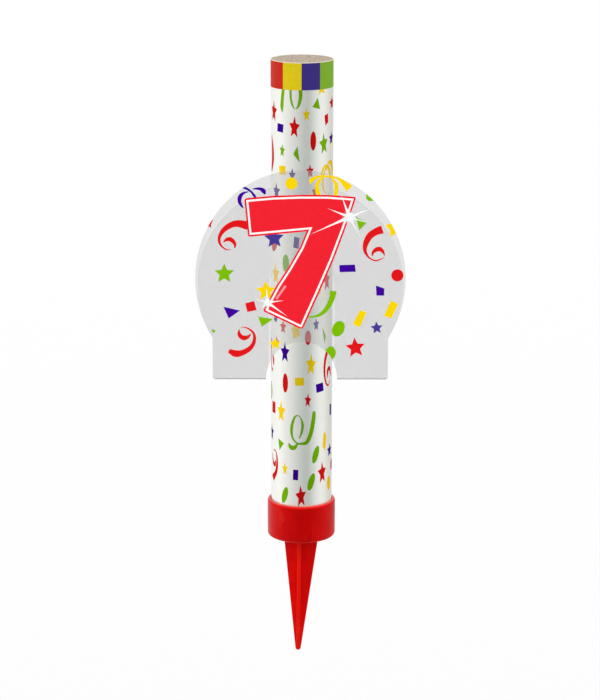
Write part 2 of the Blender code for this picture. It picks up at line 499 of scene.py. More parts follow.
def thick_sheet(name, verts, triangles, colours, finishes, bare, place, back, both_sides=False):
    """A closed thin solid over flat triangles. place turns a flat point into (outer point, normal),
    and the other side lies back millimetres behind it. The other side and the edges get the bare
    finish, or with both_sides the colour of the triangle they belong to."""
    outer, inner, outward = [], [], []
    for v in verts:
        point, normal = place(v.x, v.y)
        outer.append(point)
        inner.append(point - normal * back)
        outward.append(normal)
    names = sorted(finishes)
    slots = {None: 0, **{key: i + 1 for i, key in enumerate(names)}}
    count = len(verts)
    faces, indices, normals = [], [], []
    seen = {}
    for triangle, colour in zip(triangles, colours):
        a, b, c = triangle
        if (outer[b] - outer[a]).cross(outer[c] - outer[a]).dot(outward[a]) < 0:
            b, c = c, b
        faces.append((a, b, c))
        indices.append(slots[colour])
        normals += [outward[a], outward[b], outward[c]]
        faces.append((a + count, c + count, b + count))
        indices.append(slots[colour] if both_sides else 0)
        normals += [-outward[a], -outward[c], -outward[b]]
        for edge in ((a, b), (b, c), (c, a)):
            if edge[::-1] in seen:
                del seen[edge[::-1]]
            else:
                seen[edge] = slots[colour]
    for (a, b), slot in seen.items():
        faces.append((b, a, a + count, b + count))
        indices.append(slot if both_sides else 0)
        flat = (outer[a] - outer[b]).cross(inner[b] - outer[b]).normalized()
        normals += [flat] * 4
    used = sorted({i for face in faces for i in face})
    renumber = {old: new for new, old in enumerate(used)}
    everything = outer + inner
    return finish_object(
        name,
        [everything[i] for i in used],
        [tuple(renumber[i] for i in face) for face in faces],
        [bare] + [finishes[key] for key in names],
        indices,
        normals,
    )


def arc(centre, radius, start_deg, end_deg, steps):
    points = []
    for i in range(steps + 1):
        angle = math.radians(start_deg + (end_deg - start_deg) * i / steps)
        points.append((centre[0] + radius * math.cos(angle), centre[1] + radius * math.sin(angle)))
    return points


def turned(name, profile, materials, steps=ROUND_STEPS, index_of=None, wobble=None):
    """A closed solid turned round Z from a closed (radius, z) profile; radius 0 makes a pole."""
    verts, faces, indices, rings = [], [], [], []
    for radius, z in profile:
        ring = []
        for i in range(steps if radius > 1e-6 else 1):
            angle = math.tau * i / steps
            r = radius + (wobble(angle) if wobble else 0.0)
            ring.append(len(verts))
            verts.append((r * math.sin(angle), -r * math.cos(angle), z) if radius > 1e-6 else (0, 0, z))
        rings.append(ring)
    for k, (here, ahead) in enumerate(zip(rings, rings[1:] + rings[:1])):
        if len(here) == 1 and len(ahead) == 1:
            continue
        for i in range(steps):
            j = (i + 1) % steps
            quad = [here[i % len(here)], here[j % len(here)], ahead[j % len(ahead)], ahead[i % len(ahead)]]
            faces.append(tuple(dict.fromkeys(quad)))
            indices.append(index_of(k, i) if index_of else 0)
    return finish_object(name, verts, faces, materials, indices)


# ---------- holder


RIM_RADIUS = HOLDER_HIGH.x
FOOT_RADIUS = RIM_RADIUS - 0.02
CUP_HEIGHT = HOLDER_HIGH.z
SPIKE_DEPTH = -HOLDER_LOW.z
CUP_WALL = 0.46
CUP_FLOOR = 1.2
CUP_CORNER = 0.6
FLOOR_FILLET = 0.4
LIP_ROUND = (0.45, 0.6)
LIP_BEAD = 0.12
LIP_DEPTH = 1.6
# Heights between which the cup's colour turns into the spike's lighter red, a painted glow of light
# through the thin spike
SPIKE_GLOW_HEIGHTS = (0.3, -0.8)
SPIKE_ROOT = 3.5
SPIKE_TIP = 0.55
SPIKE_RIB = 0.7
SPIKE_FLARE = 0.5
SPIKE_SET = -0.61
RIB_SET = -0.36
RIB_BEVEL = 0.10


def spike_rib(name, across, root_set=0.0):
    """One rib of the spike, with its long edges rounded; root_set moves its root sideways."""
    tip_z = SPIKE_TIP - SPIKE_DEPTH
    widen = (SPIKE_ROOT - SPIKE_TIP) / -tip_z
    top_z = CUP_FLOOR / 2
    flare_middle = (SPIKE_ROOT + SPIKE_FLARE * (1 - widen), -SPIKE_FLARE)
    flare = arc(flare_middle, SPIKE_FLARE, 180, 95, 6)
    tip = arc((0.0, tip_z), SPIKE_TIP, 0, -180, 16)
    right = [(SPIKE_ROOT + SPIKE_FLARE, top_z)] + flare[::-1]
    outline = right + tip + [(-w, z) for w, z in right[::-1]]
    side_way = Vector((across.y, across.x, 0))
    shape = bmesh.new()
    loops = []
    for half in (-0.5, 0.5):
        loop = []
        for w, z in outline:
            down = max(0.0, -z) / SPIKE_DEPTH
            drift = SPIKE_SET * down + root_set * (1 - down)
            point = Vector((drift, 0, z)) + across * w + side_way * half * SPIKE_RIB
            loop.append(shape.verts.new(point * MM))
        loops.append(loop)
    shape.faces.new(loops[0])
    shape.faces.new(loops[1])
    for i in range(len(outline)):
        j = (i + 1) % len(outline)
        shape.faces.new((loops[0][i], loops[0][j], loops[1][j], loops[1][i]))
    bmesh.ops.recalc_face_normals(shape, faces=shape.faces)
    long_edges = []
    for edge in shape.edges:
        first, second = edge.verts
        if (first in loops[0]) == (second in loops[0]):
            long_edges.append(edge)
    bmesh.ops.bevel(
        shape,
        geom=long_edges,
        offset=RIB_BEVEL * MM,
        segments=3,
        profile=0.5,
        affect="EDGES",
        clamp_overlap=True,
    )
    mesh = bpy.data.meshes.new(name)
    shape.to_mesh(mesh)
    shape.free()
    made = bpy.data.objects.new(name, mesh)
    bpy.context.scene.collection.objects.link(made)
    return made


def see_through(made):
    """Leaves a thin clear piece out of shadows and of reflections in other pieces."""
    made.visible_shadow = False
    made.visible_diffuse = False
    made.visible_glossy = False


def apply_modifiers(made):
    graph = bpy.context.evaluated_depsgraph_get()
    mesh = bpy.data.meshes.new_from_object(made.evaluated_get(graph))
    made.modifiers.clear()
    made.data = mesh


def mark_painted_light_faces(cup):
    """Gives the ribs' edges their painted highlight finish, slot 1, and the inside of the lip its painted
    glow finish, slot 2.
    """
    reach = 0.7 * SPIKE_RIB
    for face in cup.data.polygons:
        middle, normal = face.center / MM, face.normal
        edge_on = abs(middle.y) > reach and abs(normal.y) > 0.5
        side_on = abs(middle.x - SPIKE_SET) > 2 * reach and abs(normal.x) > 0.8
        # the ribs' edges get the painted highlight
        if middle.z < -0.2 and (edge_on or side_on):
            face.material_index = 1
        inward = middle.xy.dot(normal.xy) < 0
        # the inside of the lip gets the painted glow
        if middle.z > CUP_HEIGHT - LIP_DEPTH and inward:
            face.material_index = 2


def make_holder():
    inside = FOOT_RADIUS - CUP_WALL
    wide, tall = LIP_ROUND
    bead = RIM_RADIUS - CUP_WALL - LIP_BEAD
    profile = [(0.0, 0.0)]
    profile += arc((FOOT_RADIUS - CUP_CORNER, CUP_CORNER), CUP_CORNER, -90, 0, 12)
    for across, up in arc((0.0, 0.0), 1.0, 0, 90, 12):
        profile.append((RIM_RADIUS - wide * (1 - across), CUP_HEIGHT - tall * (1 - up)))
    profile += [(bead + 0.03, CUP_HEIGHT), (bead, CUP_HEIGHT - 0.04), (bead, CUP_HEIGHT - 0.25)]
    profile += [(RIM_RADIUS - CUP_WALL, CUP_HEIGHT - tall)]
    profile += arc((inside - FLOOR_FILLET, CUP_FLOOR + FLOOR_FILLET), FLOOR_FILLET, 0, -90, 6)
    profile += [(0.0, CUP_FLOOR)]
    # the spike's lighter red is a painted glow of light through it
    cup = turned("holder_moulding", profile, [plastic_finish("red_plastic", PLASTIC_SPIKE_PAINTED_GLOW)])
    ribs = (("rib_side", Vector((1, 0, 0)), 0.0), ("rib_front", Vector((0, 1, 0)), RIB_SET))
    for name, across, root_set in ribs:
        rib = spike_rib(name, across, root_set)
        union = cup.modifiers.new(name, "BOOLEAN")
        union.operation = "UNION"
        union.object = rib
        bpy.context.view_layer.update()
        apply_modifiers(cup)
        bpy.data.objects.remove(rib)
    # a painted highlight for the ribs' edges and a painted glow for the inside of the lip
    cup.data.materials.append(plastic_finish("red_plastic_rib_edge_highlight", PLASTIC_RIB_EDGE_HIGHLIGHT))
    cup.data.materials.append(lip_painted_glow_finish())
    mark_painted_light_faces(cup)
    cup.data.shade_smooth()
    cup.data.set_sharp_from_angle(angle=math.radians(SMOOTH_DEG))
    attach(cup, "holder")
    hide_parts("spike_holder")


# ---------- tube prints

# (shape, ink, degrees round, height, width, height of shape, turn)
TUBE_CONFETTI = [
    ("star", "yellow", 38, 90.4, 2.2, 2.9, 4),
    ("star", "red", -64, 85.5, 2.2, 3.8, -3),
    ("star", "red", -14, 82.9, 2.0, 3.8, -4),
    ("block", "purple", -44, 82.4, 1.6, 1.6, -5),
    ("star", "yellow", 8, 85.3, 1.4, 2.4, 3),
    ("star", "red", 71, 87.0, 2.3, 2.3, 5),
    ("ellipse", "red", 21, 80.1, 1.2, 3.7, 0),
    ("star", "green", 44, 79.5, 2.1, 3.8, 6),
    ("star", "purple", 69, 80.2, 1.9, 2.4, 0),
    ("star", "green", -39, 78.2, 1.2, 2.4, -4),
    ("block", "yellow", -39, 74.3, 1.6, 1.7, 3),
    ("star", "purple", -18, 73.6, 1.3, 2.5, 0),
    ("star", "red", 15, 74.4, 1.4, 2.5, 2),
    ("star", "purple", -55, 70.1, 2.2, 3.0, 2),
    ("star", "red", 25, 70.3, 1.4, 2.4, -6),
    ("ellipse", "red", -63.5, 59.5, 2.2, 3.2, -28),
    ("slant", "purple", -10, 60.4, 1.25, 2.4, 0),
    ("ellipse", "green", -31, 56.2, 1.5, 3.5, 0),
    ("star", "yellow", -58, 53.8, 2.4, 3.8, 3),
    ("star", "red", 54, 52.6, 2.1, 3.8, 4),
    ("ellipse", "yellow", 33, 51.6, 1.2, 3.4, 0),
    ("star", "purple", 28, 44.2, 1.3, 2.4, 2),
    ("star", "red", -37, 43.6, 1.5, 2.6, 0),
    ("ellipse", "red", 12, 41.6, 1.25, 2.9, 0),
    ("slant", "yellow", -11, 42.8, 1.6, 2.5, 24),
    ("slant", "purple", -58, 44.7, 1.2, 1.2, -20),
    ("star", "red", -54, 40.2, 1.5, 2.4, 0),
    ("star", "purple", -33, 38.6, 2.0, 3.8, 0),
    ("star", "yellow", 18, 36.3, 2.0, 4.0, -4),
    ("ellipse", "red", -32, 32.3, 1.25, 3.9, 0),
    ("block", "yellow", -4, 32.8, 1.8, 1.6, 3),
    ("block", "purple", 36.7, 31.3, 1.8, 1.75, 7),
    ("star", "red", 12, 29.1, 1.3, 2.6, -6),
    ("block", "red", -66, 26.7, 1.5, 2.3, 0),
    ("star", "yellow", -42, 26.5, 2.0, 4.1, 0),
    ("block", "purple", 71, 26.1, 0.9, 2.2, 0),
    ("star", "purple", -76, 21.5, 2.0, 3.2, 0),
    ("slant", "yellow", 49, 20.2, 1.0, 3.7, -11),
    ("ellipse", "green", 28, 17.8, 1.3, 3.65, -16),
    ("star", "purple", 67, 18.0, 1.9, 2.5, 0),
    ("star", "yellow", -33, 14.9, 1.3, 2.4, 3),
    ("slant", "purple", -11, 13.8, 1.25, 2.35, 6),
    ("star", "red", 43, 14.0, 2.1, 4.1, 4),
    ("ellipse", "green", 19, 12.3, 1.3, 3.65, -16),
    ("ellipse", "yellow", 64, 11.2, 1.5, 2.9, 0),
    ("ellipse", "red", 80, 14.6, 1.6, 2.4, 0),
    ("ellipse", "green", -33, 9.4, 1.3, 3.55, -15),
    ("star", "red", -1, 9.6, 2.0, 4.1, 6),
    # behind the figure
    ("slant", "red", -60, 65.2, 1.3, 2.4, 10),
    ("star", "green", -32, 66.4, 1.9, 3.2, -5),
    ("ellipse", "yellow", -8, 64.6, 1.3, 3.2, 8),
    ("block", "purple", 12, 67.3, 1.6, 1.6, -6),
    ("star", "red", 33, 65.6, 1.9, 3.2, 4),
    ("ellipse", "green", 57, 66.2, 1.4, 3.2, -10),
    ("star", "purple", 24, 59.3, 1.6, 2.6, 3),
    ("slant", "green", 4, 54.6, 1.2, 2.4, -8),
    ("star", "yellow", -8, 49.6, 1.6, 2.8, 5),
]
# Straight-sided pieces, as (degrees round, height) corners
TUBE_TRIANGLES = [
    ("green", [(30, 88.4), (19, 86.6), (35, 86.1)]),
    ("green", [(-8, 79.2), (-16, 77.6), (-4, 76.0)]),
    ("green", [(-50, 20.8), (-35, 20.0), (-46, 18.3)]),
    ("green", [(42, 43.4), (52, 41.4), (47, 39.9)]),
    ("red", [(45.2, 84.75), (55.5, 85.1), (56.1, 83.4), (48, 82.75)]),
]
# Curled streamers, as (degrees round, height, width) along the middle
TUBE_RIBBONS = [
    ("green", [(-35, 91.0, 0.65), (-38.6, 88.2, 0.75), (-39.6, 86.4, 0.75), (-38.4, 85.4, 0.1)]),
    ("green", [(-21, 91.0, 0.5), (-21, 88.6, 0.45), (-18.5, 87.2, 0.4), (-13.5, 86.2, 0.15)]),
    ("green", [(-4, 91.0, 0.8), (-2.5, 88.8, 0.7), (-6, 87.0, 0.5), (-11.5, 86.2, 0.15)]),
    ("red", [(-75, 80.6, 0.3), (-70, 78.4, 0.95), (-69, 76.0, 1.1), (-75, 73.6, 0.6)]),
    ("yellow", [(37, 72.4, 0.4), (41, 74.2, 0.5), (49, 75.1, 0.4), (60, 74.2, 0.7), (66, 72.2, 0.8)]),
    ("yellow", [(50, 74.2, 0.4), (60, 75.6, 0.6), (72, 74.8, 1.1), (82, 71.8, 0.6)]),
    ("yellow", [(50, 75.0, 0.3), (43, 72.9, 0.45), (42, 71.0, 0.5), (50, 69.6, 0.3)]),
    ("red", [(-80, 40.4, 0.8), (-84, 37.0, 1.1), (-77, 34.0, 0.55), (-70, 34.6, 0.3)]),
    ("red", [(-70, 37.4, 0.2), (-67, 36.4, 0.8), (-66, 35.2, 0.3)]),
    ("red", [(57, 38.4, 0.9), (50, 36.6, 0.7), (48, 34.3, 0.55), (52, 32.1, 0.45),
        (60, 31.3, 0.35), (67, 32.2, 0.15)]),
    ("red", [(56, 32.8, 0.15), (59, 34.4, 0.75), (66, 34.6, 0.75), (71, 33.0, 0.25)]),
    ("green", [(-82, 31.6, 0.7), (-78, 29.8, 1.0), (-80, 28.0, 0.6)]),
    ("green", [(-4, 21.3, 0.2), (0.5, 22.6, 0.45), (2, 24.2, 0.5), (-3, 25.7, 0.2),
        (-11, 25.8, 0.35), (-17, 24.5, 0.55)]),
    ("green", [(-17, 24.5, 0.55), (-19, 22.9, 0.6), (-16.5, 21.3, 0.4), (-8, 20.3, 0.35), (0, 20.2, 0.5)]),
    ("green", [(0, 20.2, 0.5), (10, 20.5, 0.75), (18, 22.3, 0.85), (23, 25.0, 0.85), (24.2, 26.7, 0.6)]),
    ("green", [(-25, 20.2, 0.2), (-20, 19.4, 0.9), (-13, 19.4, 0.8), (-6, 20.4, 0.15)]),
    ("red", [(-68, 17.9, 0.2), (-57, 17.8, 0.3), (-53, 15.8, 0.6), (-57, 13.6, 0.85), (-70, 12.0, 1.4)]),
    ("red", [(-72, 17.2, 0.2), (-69, 15.6, 0.6), (-62, 15.0, 0.85), (-58, 16.0, 0.25)]),
]
PRINT_RISE = 0.19
REPEAT_RISE = 35.0
PER_DEGREE = math.radians(1) * WRAP_RADIUS
SEAM_GAP = 0.02


def tube_layout():
    """Every printed shape as a flat outline of (millimetres round, height). The artwork repeats on
    the far side, moved up the tube."""
    shapes = []
    for kind, ink, degrees, z, width, height, turn in TUBE_CONFETTI:
        centre = (degrees * PER_DEGREE, z + PRINT_RISE)
        shapes.append((ink, confetti(kind, centre, width, height, turn)))
    for ink, outline in TUBE_TRIANGLES:
        shapes.append((ink, [(degrees * PER_DEGREE, z + PRINT_RISE) for degrees, z in outline]))
    for ink, stations in TUBE_RIBBONS:
        middle = [(degrees * PER_DEGREE, z + PRINT_RISE, width) for degrees, z, width in stations]
        shapes.append((ink, ribbon(middle)))
    span = WRAP_HIGH.z - WRAP_LOW.z
    half_turn = 180 * PER_DEGREE
    far = []
    for ink, outline in shapes:
        for side in (-half_turn, half_turn):
            for rise in (REPEAT_RISE, REPEAT_RISE - span):
                moved = [(x + side, z + rise) for x, z in outline]
                if any(abs(x) < half_turn and WRAP_LOW.z < z < WRAP_HIGH.z for x, z in moved):
                    far.append((ink, moved))
    return far + shapes


def make_wrapper():
    """The printed paper, wound once round and a little over itself at the back."""
    left, right = -180 * PER_DEGREE, (180 + SEAM_OVERLAP_DEG) * PER_DEGREE
    low, high = WRAP_LOW.z, BAND_LOW.z - BAND_LAP
    sheet = [(left, low), (right, low), (right, high), (left, high)]
    guides = []
    for i in range(1, ROUND_STEPS + int(ROUND_STEPS * SEAM_OVERLAP_DEG / 360)):
        x = left + i * 360 / ROUND_STEPS * PER_DEGREE
        guides.append(((x, low), (x, high)))
    verts, triangles, colours = overprint(sheet, tube_layout(), guides)

    def place(across, z):
        angle = across / WRAP_RADIUS
        wound = (across - left) / (right - left)
        radius = WRAP_RADIUS - (1 - wound) * (PAPER + SEAM_GAP)
        normal = Vector((math.sin(angle), -math.cos(angle), 0))
        return normal * radius + Vector((0, 0, z)), normal

    finishes = {key: paper_ink_finish("tube_ink_" + key, rgb) for key, rgb in TUBE_INKS.items()}
    pearl = pearl_finish()
    made = thick_sheet("wrapper_paper", verts, triangles, colours, finishes, pearl, place, PAPER)
    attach(made, "tube")
    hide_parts("printed_wrapper")


# Stripes round the band from its left edge on: ink and width in degrees
STRIPE_START_DEG = -92
STRIPES = [
    ("red", 55), ("yellow", 36), ("purple", 35.5), ("green", 55.5), ("red", 35.6), ("yellow", 35.6),
    ("purple", 35.6), ("green", 35.6), ("yellow", 35.6),
]
BAND_STEPS = 720
BAND_PAPER = 0.12
BAND_LAP = 0.17
BAND_WORN_EDGE = 0.09


def make_band():
    names = sorted(BAND_INKS)
    edges, total = [], 0.0
    for ink, width in STRIPES:
        total += width
        edges.append((total, ink))
    core, core_shader = shader_of("paper_core", Roughness=0.8)
    mottle(core, core_shader, linear(*PAPER_CORE), 2500, 0.12)
    bump(core, core_shader, 4000, 0.02, 0.4)
    materials = [core] + [band_finish("band_" + key, BAND_INKS[key]) for key in names]
    low, high = BAND_LOW.z - BAND_LAP, BAND_HIGH.z
    inner = BAND_RADIUS - BAND_PAPER
    wear_and_highlight = BAND_WORN_EDGE
    profile = [(BAND_RADIUS, low), (BAND_RADIUS, high - wear_and_highlight), (BAND_RADIUS - wear_and_highlight, high)]
    profile += [(inner + 0.01, high), (inner, high - 0.03), (inner, low)]

    def index_of(part, i):
        if part > 0:
            return 0
        degrees = ((i + 0.5) * 360 / BAND_STEPS - STRIPE_START_DEG) % 360
        ink = next((ink for edge, ink in edges if degrees < edge), edges[-1][1])
        return 1 + names.index(ink)

    made = turned("band_stripes", profile, materials, BAND_STEPS, index_of)
    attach(made, "tube")
    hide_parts("striped_band")


DISC_SUNK = 0.04
DISC_GAP = 0.19
DISC_CHAMFER = 0.08
DISC_DISH = 0.05
DISC_SET = Vector((-0.03, -0.02, 0))
DISC_RINGS = 14
DISC_STEPS = 96


def make_disc():
    """The board that closes the end: slightly dished, out of round and off centre."""
    top, low = BAND_HIGH.z - DISC_SUNK, DISC_LOW.z
    radius = BAND_RADIUS - DISC_GAP

    def wobble(angle):
        return 0.025 * math.sin(5 * angle + 1) + 0.015 * math.sin(11 * angle)

    profile = [(0.0, low), (radius, low), (radius, top - DISC_CHAMFER), (radius - DISC_CHAMFER, top)]
    for i in range(1, DISC_RINGS):
        share = 1 - i / DISC_RINGS
        profile.append((radius * share, top - DISC_DISH * (1 - share**2)))
    profile.append((0.0, top - DISC_DISH))
    made = turned("closure_board_disc", profile, [kraft_finish()], DISC_STEPS, wobble=wobble)
    made.data.transform(Matrix.Translation(DISC_SET * MM))
    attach(made, "tube")
    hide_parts("closure_disc")


# ---------- tag

PANEL_MIDDLE = (FRONT_LOW.x + FRONT_HIGH.x) / 2
PANEL_HALF_WIDTH = (FRONT_HIGH.x - FRONT_LOW.x) / 2
PANEL_HEIGHT = FRONT_HIGH.z - FRONT_LOW.z
PANEL_CENTRE = 19.8
FOOT_HALF = 17.02
FOOT_CORNER = 0.35
HEAD_STEPS = 110
ARCH_HALF = 6.9
ARCH_HIGH = 7.5
SLOT_HALF = 6.45
SLOT_END = 26.0

# The figure: its outer outline, clockwise from the top left corner
FIGURE = [
    (-11.0, 35.6), (-5.6, 36.1), (-0.3, 36.3), (5.0, 36.3), (10.4, 35.9), (9.5, 33.1), (8.1, 29.1),
    (6.1, 23.6), (3.4, 17.2), (0.3, 10.1), (-0.1, 9.9), (-7.5, 13.5), (-4.9, 18.5), (-2.6, 22.1),
    (-0.3, 26.2), (0.9, 29.2), (-10.3, 28.1),
]
FIGURE_OUTLINE = 0.35
FIGURE_INLINE = 0.72
FIGURE_CORNER = 0.5
FIGURE_ROUNDED = {0, 4, 9, 10, 11, 16}

TAG_RIBBONS = [
    ("red", [(-10.3, 30.3, 1.7), (-12.2, 30.7, 1.35), (-13.6, 30.4, 1.15), (-14.9, 29.5, 0.95),
        (-15.7, 28.3, 0.65), (-15.8, 27.1, 0.5), (-15.3, 26.2, 0.35), (-14.4, 25.6, 0.25),
        (-13.5, 25.6, 0.06)]),
    ("red", [(-15.1, 27.0, 0.08), (-14.5, 27.5, 0.6), (-13.8, 27.65, 0.85), (-13.2, 27.25, 0.8),
        (-12.8, 26.6, 0.55), (-12.9, 25.9, 0.2)]),
    ("red", [(15.45, 29.6, 1.6), (14.3, 29.2, 1.4), (13.1, 28.4, 1.3), (12.35, 27.1, 1.1),
        (12.1, 25.7, 0.75), (12.5, 24.6, 0.45), (13.3, 23.8, 0.3), (14.3, 23.5, 0.27),
        (15.2, 23.8, 0.2), (15.9, 24.2, 0.06)]),
    ("red", [(13.5, 24.4, 0.2), (13.7, 25.1, 0.55), (14.2, 25.6, 0.8), (14.9, 25.75, 0.9),
        (15.5, 25.35, 0.65), (15.95, 24.5, 0.1)]),
    ("red", [(-14.1, 5.6, 0.8), (-12.8, 5.0, 1.35), (-11.5, 5.2, 1.1), (-10.2, 5.9, 0.95),
        (-9.4, 6.9, 0.75), (-9.1, 8.1, 0.6), (-9.3, 9.1, 0.45), (-10.0, 9.8, 0.35),
        (-10.8, 10.2, 0.23), (-11.7, 10.3, 0.08)]),
    ("red", [(-12.1, 9.9, 0.1), (-12.1, 9.0, 0.7), (-11.7, 8.35, 0.85), (-11.1, 8.15, 0.95),
        (-10.4, 8.35, 0.65), (-9.75, 9.0, 0.1)]),
    ("purple", [(-10.2, 36.9, 0.15), (-11.2, 36.6, 0.5), (-11.8, 35.9, 0.8), (-11.9, 35.0, 0.7),
        (-11.6, 34.3, 0.5), (-11.2, 33.7, 0.2)]),
    ("purple", [(-11.3, 37.5, 0.1), (-10.8, 37.6, 0.45), (-9.8, 37.0, 0.4), (-9.2, 36.3, 0.45),
        (-8.6, 35.3, 0.5)]),
    ("purple", [(-9.5, 37.4, 0.1), (-8.7, 37.5, 0.4), (-7.8, 37.4, 0.65), (-7.3, 37.0, 0.85),
        (-7.0, 36.4, 0.25)]),
    ("red", [(-17.0, 31.4, 0.12), (-17.5, 30.7, 0.4), (-17.8, 30.1, 0.95)]),
    ("yellow", [(1.6, 38.4, 0.12), (1.8, 39.1, 0.85), (2.6, 39.6, 0.6), (3.5, 39.9, 0.45),
        (5.0, 39.9, 0.4), (6.6, 39.6, 0.42), (7.7, 38.9, 0.8), (9.1, 37.5, 1.6)]),
    ("yellow", [(4.1, 39.7, 0.25), (3.2, 38.9, 0.58), (2.9, 37.8, 0.78), (3.2, 36.0, 0.9)]),
    ("yellow", [(5.6, 39.6, 0.25), (6.4, 38.6, 0.65), (6.6, 37.5, 0.78), (6.4, 36.0, 0.65)]),
    ("green", [(6.1, 17.5, 1.35), (5.8, 15.9, 1.05), (4.9, 14.1, 0.9), (3.7, 12.9, 0.65),
        (2.3, 12.4, 0.4), (0.4, 12.3, 0.25)]),
]
# (shape, ink, across, up, width, height, turn)
TAG_CONFETTI = [
    ("ellipse", "yellow", -2.0, 38.5, 2.3, 2.35, 0),
    ("ellipse", "red", 18.4, 20.6, 2.35, 2.4, 0),
    ("ellipse", "green", 7.1, 10.0, 2.35, 3.25, -24),
    ("star", "green", -14.9, 21.05, 3.55, 3.4, 0),
    ("star", "violet", -5.3, 28.0, 3.55, 3.4, 3),
    ("star", "yellow", -6.9, 17.65, 3.6, 3.45, 2),
    ("star", "yellow", -5.1, 7.1, 2.2, 2.15, 3),
    ("star", "violet", 14.5, 10.3, 2.2, 2.15, 5),
    ("star", "red", 10.4, 6.4, 3.55, 3.45, 6),
]
TAG_PATCHES = [
    ("green", [(12.2, 36.7), (13.0, 36.2), (13.7, 35.2), (12.8, 35.1), (12.3, 35.6)]),
    ("green", [(10.3, 32.1), (12.4, 30.9), (11.0, 29.4)]),
    ("yellow", [(16.0, 30.5), (17.3, 30.8), (18.2, 29.0), (17.0, 28.1), (16.9, 29.5)]),
    ("purple", [(7.2, 22.6), (10.2, 22.7), (10.4, 21.3), (7.3, 21.2)]),
    ("purple", [(14.3, 18.6), (15.9, 18.0), (15.9, 16.6), (14.4, 16.6)]),
    ("yellow", [(11.3, 13.75), (12.5, 13.3), (11.3, 10.3), (9.9, 10.9)]),
    ("yellow", [(17.2, 15.55), (18.65, 15.0), (17.35, 12.05), (15.9, 12.6)]),
    ("green", [(4.6, 5.7), (5.4, 6.5), (6.2, 6.4), (6.7, 5.4), (6.5, 4.5), (6.0, 3.8), (5.4, 4.8)]),
    ("purple", [(-15.1, 14.35), (-11.9, 13.6), (-14.1, 12.0)]),
    ("red", [(-10.9, 15.0), (-9.2, 15.5), (-8.7, 13.7), (-10.5, 13.3)]),
    ("green", [(-8.4, 12.4), (-5.5, 11.9), (-7.7, 10.4)]),
    ("green", [(-17.4, 9.9), (-16.6, 9.6), (-16.9, 9.2), (-17.3, 9.2)]),
]
# Sparkles: middle, size of the bright core, and (tip, width) of each ray
SPARKLES = [
    ((9.1, 32.0), 1.7, [((7.5, 36.3), 0.85), ((1.6, 28.6), 0.75), ((4.9, 33.7), 0.7),
        ((13.3, 33.7), 0.75), ((12.5, 30.9), 0.6), ((11.2, 28.1), 0.6)]),
    ((-6.6, 15.2), 1.3, [((-6.8, 18.1), 0.7), ((-3.4, 15.6), 0.6), ((-2.7, 12.4), 0.7),
        ((-8.8, 15.9), 0.6), ((-7.8, 13.9), 0.6), ((-6.4, 13.0), 0.6)]),
]
GLOW_REACH = 0.95
GLOW_RISE = 0.03
GLOW_THICK = 0.01
PRINT_UP = 0.06
GLOSS_BAR = ((-4.9, 15.9), (-3.1, 18.5), 0.42)


def rounded(points, radius, which):
    """An outline whose corners are replaced by short curves, where their number is in which."""
    out = []
    for i, here in enumerate(points):
        if i not in which:
            out.append(here)
            continue
        here = Vector(here)
        a = (Vector(points[i - 1]) - here).normalized() * radius
        b = (Vector(points[(i + 1) % len(points)]) - here).normalized() * radius
        for k in range(5):
            t = k / 4
            out.append(tuple(here + a * (1 - t) ** 2 + b * t**2))
    return out


def panel_outline(slotted):
    """One panel of the tag from the fold up, clockwise seen from the front, starting at the head."""
    tall = PANEL_HEIGHT - PANEL_CENTRE
    angle = -math.degrees(math.acos(FOOT_HALF / PANEL_HALF_WIDTH))
    unit = arc((0.0, 0.0), 1.0, 180 - angle, angle, HEAD_STEPS)
    head = [(PANEL_MIDDLE + PANEL_HALF_WIDTH * x, PANEL_CENTRE + tall * y) for x, y in unit]
    feet = [(PANEL_MIDDLE + FOOT_HALF, 0.0), (PANEL_MIDDLE - FOOT_HALF, 0.0)]
    if slotted:
        last = math.degrees(math.acos(SLOT_HALF / ARCH_HALF))
        side = [(x, y * ARCH_HIGH / ARCH_HALF) for x, y in arc((0, 0), ARCH_HALF, 0, last, 6)]
        slot = arc((0.0, SLOT_END - SLOT_HALF), SLOT_HALF, 0, 180, 40)
        arch = side + slot + [(-x, y) for x, y in side[::-1]]
    else:
        arch = [(x, y * ARCH_HIGH / ARCH_HALF) for x, y in arc((0, 0), ARCH_HALF, 0, 180, 48)]
    outline = head + [feet[0]] + arch + [feet[1]]
    return rounded(outline, FOOT_CORNER, {len(head), len(outline) - 1})


def tag_layout():
    shapes = []
    for kind, ink, x, y, width, height, turn in TAG_CONFETTI:
        shapes.append((ink, confetti(kind, (x, y), width, height, turn)))
    shapes += list(TAG_PATCHES)
    for ink, stations in TAG_RIBBONS:
        shapes.append((ink, ribbon(stations)))
    shapes.append(("outline", rounded(FIGURE, FIGURE_CORNER, FIGURE_ROUNDED)))
    shapes.append(("white", inset(FIGURE, FIGURE_OUTLINE)))
    shapes.append(("figure", inset(FIGURE, FIGURE_INLINE)))
    start, end, width = GLOSS_BAR
    half_way = Vector(start).lerp(Vector(end), 0.5)
    shapes.append(("gloss", ribbon([(*start, width), (*half_way, width), (*end, width)])))
    for middle, core, rays in SPARKLES:
        for tip, width in rays:
            shapes.append(("white", ray(middle, tip, width)))
        shapes.append(("white", scaled(UNIT["ellipse"], middle, core, core)))
    return shapes


def front_place(depth, lift=0.0):
    """Puts tag layout points on a plane parallel to the front panel's middle, depth in front of it."""

    def place(across, up):
        return Vector((across, FOLD.y - depth, FOLD.z + lift + up)), Vector((0, -1, 0))

    return place


def rear_place():
    """Puts tag layout points on the back face of the leaning panel."""
    panel = frame["nodes"]["tag_rear_panel"].data
    normal = max(panel.polygons, key=lambda face: face.area).normal.copy()
    normal = normal if normal.y > 0 else -normal
    along = Vector((0, -normal.z, normal.y))

    def place(across, up):
        return FOLD + Vector((across, 0, 0)) + along * up + normal * FILM_HALF, normal

    return place


